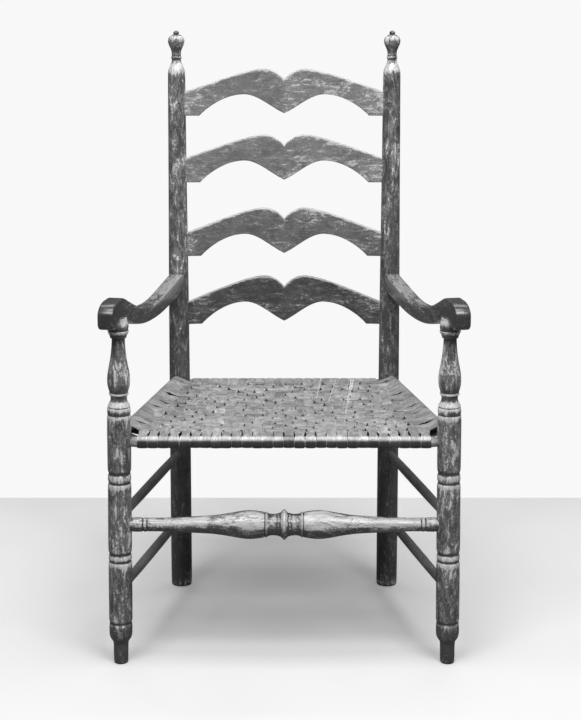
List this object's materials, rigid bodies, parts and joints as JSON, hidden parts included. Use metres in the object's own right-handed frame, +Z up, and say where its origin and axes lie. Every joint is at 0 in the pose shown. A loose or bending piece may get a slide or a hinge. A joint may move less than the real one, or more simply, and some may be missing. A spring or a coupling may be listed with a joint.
{
  "type": "slat-back armchair",
  "caption": "Tall slat-back armchair with turned posts, urn finials, shaped arms, a turned front stretcher and a twill-woven splint seat.",
  "frame": {"origin": "centre of the bounding box, on the floor", "axes": "+Z up, -Y is the chair's front, +X is the side that is on the right when the chair is seen from the front"},
  "size_m": [0.639, 0.5377, 1.1198],
  "materials": {
    "painted_post": "dark paint, worn to lighter wood in streaks, satin",
    "slat_wood": "dark paint, speckled with wear, satin",
    "arm_wood": "dark paint, polished by hands at the scroll, worn on the top",
    "stretcher_wood": "dark paint worn thin on the swellings, semi-gloss",
    "rung_wood": "dark paint, satin",
    "peg_wood": "bare end grain, matte",
    "splint": "thin split wood, rubbed smooth and a little shiny"
  },
  "bodies": {
    "root": {"front_post_left": "painted_post", "front_post_right": "painted_post", "rear_post_left": "painted_post", "rear_post_right": "painted_post", "slat_1": "slat_wood", "slat_2": "slat_wood", "slat_3": "slat_wood", "slat_4": "slat_wood", "slat_peg_left": "peg_wood", "slat_peg_right": "peg_wood", "arm_left": "arm_wood", "arm_right": "arm_wood", "front_stretcher": "stretcher_wood", "side_stretcher_upper_left": "rung_wood", "side_stretcher_upper_right": "rung_wood", "side_stretcher_lower_left": "rung_wood", "side_stretcher_lower_right": "rung_wood", "seat_rail_front": "rung_wood", "seat_rail_rear": "rung_wood", "seat_rail_left": "rung_wood", "seat_rail_right": "rung_wood", "warp_splint_1": "splint", "warp_splint_2": "splint", "warp_splint_3": "splint", "warp_splint_4": "splint", "warp_splint_5": "splint", "gore_splint_left_1": "splint", "gore_splint_left_2": "splint", "gore_splint_left_3": "splint", "gore_splint_left_4": "splint", "gore_splint_right_1": "splint", "gore_splint_right_2": "splint", "gore_splint_right_3": "splint", "gore_splint_right_4": "splint", "weft_splint_1": "splint", "weft_splint_2": "splint", "weft_splint_3": "splint", "weft_splint_4": "splint", "weft_splint_5": "splint"}
  },
  "joints": []
}
